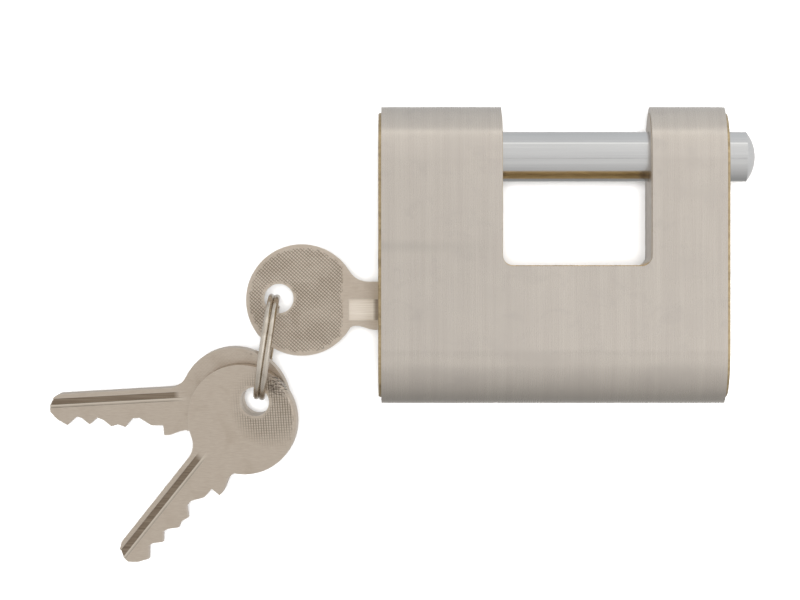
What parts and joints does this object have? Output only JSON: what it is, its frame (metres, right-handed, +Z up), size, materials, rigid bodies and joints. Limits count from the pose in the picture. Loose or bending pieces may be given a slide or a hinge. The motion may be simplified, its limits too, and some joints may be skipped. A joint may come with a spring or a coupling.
{
  "type": "shutter padlock",
  "caption": "Rectangular shutter padlock: brass block in a steel jacket, straight bolt across its slot, key in the side and spare keys on a split ring.",
  "frame": {"origin": "on the flat back face, at mid width, on the line of the key plug's axis", "axes": "+Z up out of the back face through the thickness, +X along the bolt towards its domed end, +Y from the key plug towards the bolt"},
  "size_m": [0.1426, 0.0921, 0.022],
  "materials": {
    "block_brass": "brushed, lightly tarnished",
    "jacket_steel": "brushed across the width, satin",
    "plug_brass": "machined",
    "pin_steel": "ground",
    "pin_brass": "turned",
    "spring_steel": "drawn wire",
    "bolt_chrome": "polished plating",
    "key_nickel": "nickel plated, worn satin",
    "ring_steel": "nickel plated wire"
  },
  "bodies": {
    "housing": {"body_block": "block_brass", "armour_jacket": "jacket_steel", "plug_retaining_pin": "pin_steel", "bolt_stop_pin": "pin_steel", "locking_bore_plug": "block_brass", "driver_pin_1": "pin_brass", "driver_pin_2": "pin_brass", "driver_pin_3": "pin_brass", "driver_pin_4": "pin_brass", "pin_spring_1": "spring_steel", "pin_spring_2": "spring_steel", "pin_spring_3": "spring_steel", "pin_spring_4": "spring_steel", "filler_pin_1": "block_brass", "filler_pin_2": "block_brass", "filler_pin_3": "block_brass", "filler_pin_4": "block_brass"},
    "sliding_bolt": {"bolt": "bolt_chrome"},
    "cylinder": {"plug": "plug_brass", "key_in_lock": "key_nickel", "key_pin_1": "pin_brass", "key_pin_2": "pin_brass", "key_pin_3": "pin_brass", "key_pin_4": "pin_brass"},
    "lifted_pin": {"locking_pin": "pin_steel"},
    "key_ring": {"split_ring": "ring_steel"},
    "front_spare": {"spare_key_front": "key_nickel"},
    "rear_spare": {"spare_key_rear": "key_nickel"}
  },
  "joints": [
    {"name": "bolt_slide", "type": "slide", "parent": "housing", "child": "sliding_bolt", "axis": [1, 0, 0], "range_m": [0, 0.04]},
    {"name": "key_turn", "type": "hinge", "parent": "housing", "child": "cylinder", "pos_m": [-0.035, 0, 0.011], "axis": [1, 0, 0], "range_deg": [-180, 0]},
    {"name": "locking_pin_lift", "type": "slide", "parent": "housing", "child": "lifted_pin", "axis": [0, 1, 0], "range_m": [0, 0.0022]},
    {"name": "ring_swing", "type": "hinge", "parent": "cylinder", "child": "key_ring", "pos_m": [-0.055, 0.0007, 0.0108], "axis": [0, 0, 1], "range_deg": [-60, 0]},
    {"name": "front_spare_swing", "type": "hinge", "parent": "key_ring", "child": "front_spare", "pos_m": [-0.05947, -0.01967, 0.0108], "axis": [-0.1779, -0.1657, 0.97], "range_deg": [-15, 15]},
    {"name": "rear_spare_swing", "type": "hinge", "parent": "key_ring", "child": "rear_spare", "pos_m": [-0.05947, -0.01967, 0.0108], "axis": [-0.1779, -0.1657, 0.97], "range_deg": [-15, 15]}
  ],
  "couplings": [
    {"joint": "locking_pin_lift", "follows": "key_turn", "m_per_rad": -0.0007}
  ]
}
